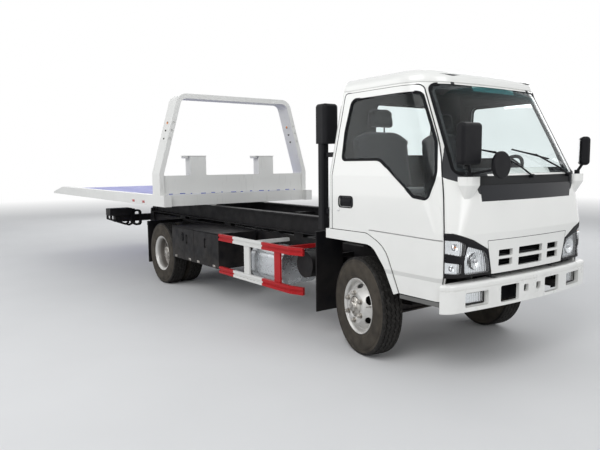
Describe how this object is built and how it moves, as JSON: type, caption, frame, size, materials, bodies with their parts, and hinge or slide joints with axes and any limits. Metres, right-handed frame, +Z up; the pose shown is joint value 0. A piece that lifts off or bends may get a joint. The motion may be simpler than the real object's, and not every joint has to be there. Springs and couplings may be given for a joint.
{
  "type": "flatbed tow truck",
  "caption": "Light flatbed tow truck with a tilting cab, a sliding and tilting loading bed with headboard, winch, tool boxes and a rear wheel lift.",
  "frame": {"origin": "on the ground, at the middle of the length and on the truck's centre plane", "axes": "+X forward, +Y to the truck's left, +Z up"},
  "size_m": [9.656, 2.236, 2.434],
  "materials": {
    "cab_white": "gloss",
    "bed_white": "satin",
    "deck_film": "satin",
    "frame_black": "satin",
    "cast_black": "matte",
    "rim_silver": "satin",
    "tyre": "matte",
    "guard_red": "gloss",
    "tank_silver": "wrapped in clear film",
    "black_plastic": "matte",
    "lamp": "clear",
    "glass": "tinted",
    "seat_cloth": "woven",
    "chrome_rod": "polished",
    "white_plastic": "gloss",
    "cylinder_black": "gloss"
  },
  "bodies": {
    "chassis": {"chassis_frame": "frame_black", "front_axle": "cast_black", "rear_axle": "cast_black", "leaf_springs": "frame_black", "engine_block": "cast_black", "exhaust": "frame_black", "fuel_tank": "tank_silver", "side_fittings": "black_plastic", "tool_box_left": "frame_black", "tool_box_right": "frame_black", "side_guard_left": "guard_red", "side_guard_right": "guard_red", "mud_panels": "black_plastic", "bumper": "white_plastic", "road_lamps": "lamp"},
    "cab": {"cab_shell": "cab_white", "cab_roof": "cab_white", "cab_front": "cab_white", "grille_panel": "cab_white", "front_strip": "black_plastic", "headlamps": "lamp", "cab_glass": "glass", "wheel_arches": "cab_white", "door_steps": "frame_black", "dashboard": "black_plastic", "steering_wheel": "black_plastic", "seats": "seat_cloth", "mirrors": "black_plastic", "air_intake": "black_plastic"},
    "door_left": {"door_left": "cab_white", "door_glass_left": "glass"},
    "door_right": {"door_right": "cab_white", "door_glass_right": "glass"},
    "steer_left": {"knuckle_left": "cast_black"},
    "steer_right": {"knuckle_right": "cast_black"},
    "front_wheel_left": {"front_tyre_left": "tyre", "front_rim_left": "rim_silver"},
    "front_wheel_right": {"front_tyre_right": "tyre", "front_rim_right": "rim_silver"},
    "rear_wheels_left": {"rear_tyres_left": "tyre", "rear_rims_left": "rim_silver"},
    "rear_wheels_right": {"rear_tyres_right": "tyre", "rear_rims_right": "rim_silver"},
    "tool_door_front_left": {"tool_door_front_left": "frame_black"},
    "tool_door_front_right": {"tool_door_front_right": "frame_black"},
    "tool_door_rear_left": {"tool_door_rear_left": "frame_black"},
    "tool_door_rear_right": {"tool_door_rear_right": "frame_black"},
    "sub_frame": {"sub_frame": "frame_black", "slide_barrel": "cylinder_black"},
    "bed": {"bed_frame": "bed_white", "bed_deck": "deck_film", "headboard_loop": "bed_white", "headboard_panel": "bed_white", "slide_rod": "chrome_rod", "winch_frame": "frame_black"},
    "winch_drum": {"winch_drum": "frame_black"},
    "tilt_barrels": {"tilt_barrels": "cylinder_black"},
    "tilt_rods": {"tilt_rods": "chrome_rod"},
    "lift_boom": {"lift_boom": "frame_black"},
    "lift_crossbar": {"lift_crossbar": "frame_black"}
  },
  "joints": [
    {"name": "steer_right", "type": "hinge", "parent": "chassis", "child": "steer_right", "pos_m": [3.722, -0.66, 0.397], "axis": [0, 0, 1], "range_deg": [-23, 47]},
    {"name": "steer_left", "type": "hinge", "parent": "chassis", "child": "steer_left", "pos_m": [3.722, 0.66, 0.397], "axis": [0, 0, 1], "range_deg": [-23, 47]},
    {"name": "front_wheel_right_spin", "type": "hinge", "parent": "steer_right", "child": "front_wheel_right", "pos_m": [3.70287, -0.74999, 0.397], "axis": [0.2079, 0.9781, 0], "continuous": true},
    {"name": "front_wheel_left_spin", "type": "hinge", "parent": "steer_left", "child": "front_wheel_left", "pos_m": [3.74113, 0.74999, 0.397], "axis": [0.2079, 0.9781, 0], "continuous": true},
    {"name": "rear_wheels_right_spin", "type": "hinge", "parent": "chassis", "child": "rear_wheels_right", "pos_m": [-0.093, -0.7125, 0.397], "axis": [0, 1, 0], "continuous": true},
    {"name": "rear_wheels_left_spin", "type": "hinge", "parent": "chassis", "child": "rear_wheels_left", "pos_m": [-0.093, 0.7125, 0.397], "axis": [0, 1, 0], "continuous": true},
    {"name": "cab_tilt", "type": "hinge", "parent": "chassis", "child": "cab", "pos_m": [4.652, 0, 0.672], "axis": [0, 1, 0], "range_deg": [0, 45]},
    {"name": "door_right_hinge", "type": "hinge", "parent": "cab", "child": "door_right", "pos_m": [4.56, -0.842, 1], "axis": [0, 0, 1], "range_deg": [0, 70]},
    {"name": "door_left_hinge", "type": "hinge", "parent": "cab", "child": "door_left", "pos_m": [4.56, 0.842, 1], "axis": [0, 0, -1], "range_deg": [0, 70]},
    {"name": "bed_tilt", "type": "hinge", "parent": "chassis", "child": "sub_frame", "pos_m": [-1.578, 0, 0.86], "axis": [0, -1, 0], "range_deg": [0, 14.5]},
    {"name": "bed_slide", "type": "slide", "parent": "sub_frame", "child": "bed", "axis": [-1, 0, 0], "range_m": [-2.49, 0.8]},
    {"name": "winch_spin", "type": "hinge", "parent": "bed", "child": "winch_drum", "pos_m": [0.002, 0, 1.262], "axis": [0, 1, 0], "continuous": true},
    {"name": "tilt_barrel_swing", "type": "hinge", "parent": "chassis", "child": "tilt_barrels", "pos_m": [0.372, 0, 0.66], "axis": [0, -1, 0], "range_deg": [0, 33]},
    {"name": "tilt_rod_slide", "type": "slide", "parent": "tilt_barrels", "child": "tilt_rods", "axis": [0.977, 0, 0.2132], "range_m": [0, 0.2855]},
    {"name": "tool_door_front_right_hinge", "type": "hinge", "parent": "chassis", "child": "tool_door_front_right", "pos_m": [1.247, -0.952, 0.412], "axis": [1, 0, 0], "range_deg": [0, 90]},
    {"name": "tool_door_rear_right_hinge", "type": "hinge", "parent": "chassis", "child": "tool_door_rear_right", "pos_m": [0.637, -0.952, 0.412], "axis": [1, 0, 0], "range_deg": [0, 90]},
    {"name": "tool_door_front_left_hinge", "type": "hinge", "parent": "chassis", "child": "tool_door_front_left", "pos_m": [1.247, 0.952, 0.412], "axis": [-1, 0, 0], "range_deg": [0, 90]},
    {"name": "tool_door_rear_left_hinge", "type": "hinge", "parent": "chassis", "child": "tool_door_rear_left", "pos_m": [0.637, 0.952, 0.412], "axis": [-1, 0, 0], "range_deg": [0, 90]},
    {"name": "lift_boom_hinge", "type": "hinge", "parent": "chassis", "child": "lift_boom", "pos_m": [-0.528, 0, 0.738], "axis": [0, -1, 0], "range_deg": [0, 12]},
    {"name": "lift_extend", "type": "slide", "parent": "lift_boom", "child": "lift_crossbar", "axis": [-1, 0, 0], "range_m": [0, 0.9]}
  ],
  "couplings": [
    {"joint": "steer_left", "follows": "steer_right", "ratio": 1},
    {"joint": "tilt_barrel_swing", "follows": "bed_tilt", "ratio": 2.273},
    {"joint": "tilt_rod_slide", "follows": "bed_tilt", "m_per_rad": 1.1262}
  ]
}
